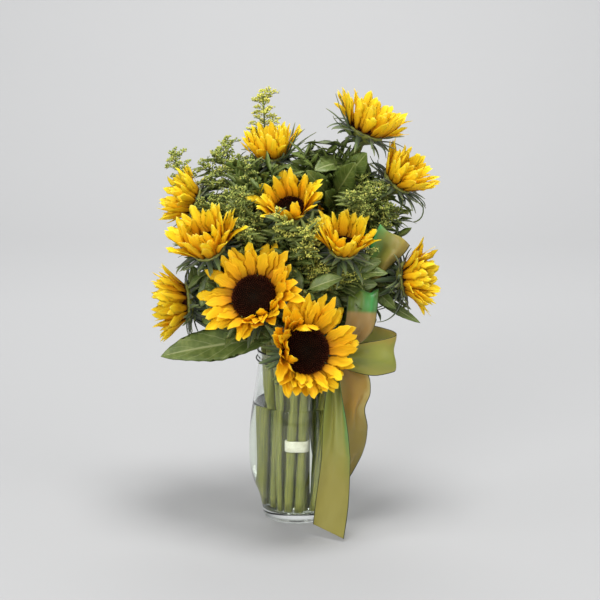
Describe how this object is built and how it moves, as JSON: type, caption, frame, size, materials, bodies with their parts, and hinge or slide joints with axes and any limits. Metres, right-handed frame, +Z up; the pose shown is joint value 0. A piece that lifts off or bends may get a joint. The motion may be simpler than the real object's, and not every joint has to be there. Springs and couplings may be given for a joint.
{
  "type": "sunflowers in a glass vase",
  "caption": "Cut sunflowers with goldenrod and leafy sprigs in a clear bellied glass vase of water, with a sheer ribbon bow tied at its neck.",
  "frame": {"origin": "middle of the vase's foot, on the surface it stands on", "axes": "+Z up through the vase to the tallest flower, -Y towards the front of the arrangement"},
  "size_m": [0.3404, 0.2948, 0.5174],
  "materials": {
    "glass": "clear polished glass",
    "water": "clear still water",
    "petal": "soft matte petal",
    "disc": "dark velvety florets",
    "stem": "ridged hairy green stem",
    "goldenrod": "fluffy yellow-green florets",
    "leaf": "satin leaf with paler veins",
    "ribbon": "sheer shot organza",
    "band": "pale paper band",
    "wire": "dark green enamelled wire"
  },
  "bodies": {
    "root": {"vase": "glass", "water": "water", "sunflower_front_right_petals": "petal", "sunflower_front_right_disc": "disc", "sunflower_front_right_stem": "stem", "sunflower_front_left_petals": "petal", "sunflower_front_left_disc": "disc", "sunflower_front_left_stem": "stem", "sunflower_middle_petals": "petal", "sunflower_middle_disc": "disc", "sunflower_middle_stem": "stem", "sunflower_mid_right_petals": "petal", "sunflower_mid_right_disc": "disc", "sunflower_mid_right_stem": "stem", "sunflower_left_petals": "petal", "sunflower_left_disc": "disc", "sunflower_left_stem": "stem", "sunflower_top_left_petals": "petal", "sunflower_top_left_disc": "disc", "sunflower_top_left_stem": "stem", "sunflower_top_right_petals": "petal", "sunflower_top_right_disc": "disc", "sunflower_top_right_stem": "stem", "sunflower_right_upper_petals": "petal", "sunflower_right_upper_disc": "disc", "sunflower_right_upper_stem": "stem", "sunflower_right_petals": "petal", "sunflower_right_disc": "disc", "sunflower_right_stem": "stem", "sunflower_far_left_upper_petals": "petal", "sunflower_far_left_upper_disc": "disc", "sunflower_far_left_upper_stem": "stem", "sunflower_far_left_lower_petals": "petal", "sunflower_far_left_lower_disc": "disc", "sunflower_far_left_lower_stem": "stem", "sunflower_back_petals": "petal", "sunflower_back_disc": "disc", "sunflower_back_stem": "stem", "goldenrod_top": "goldenrod", "goldenrod_left": "goldenrod", "goldenrod_upper_left": "goldenrod", "goldenrod_centre_left": "goldenrod", "goldenrod_centre": "goldenrod", "goldenrod_right": "goldenrod", "sprig_upper_right": "leaf", "sprig_upper_left": "leaf", "sprig_right": "leaf", "sprig_low": "leaf", "sprig_left": "leaf", "sprig_back": "leaf", "sprig_back_right": "leaf", "stem_band": "band", "bow_wire": "wire", "ribbon_bow": "ribbon"}
  },
  "joints": []
}
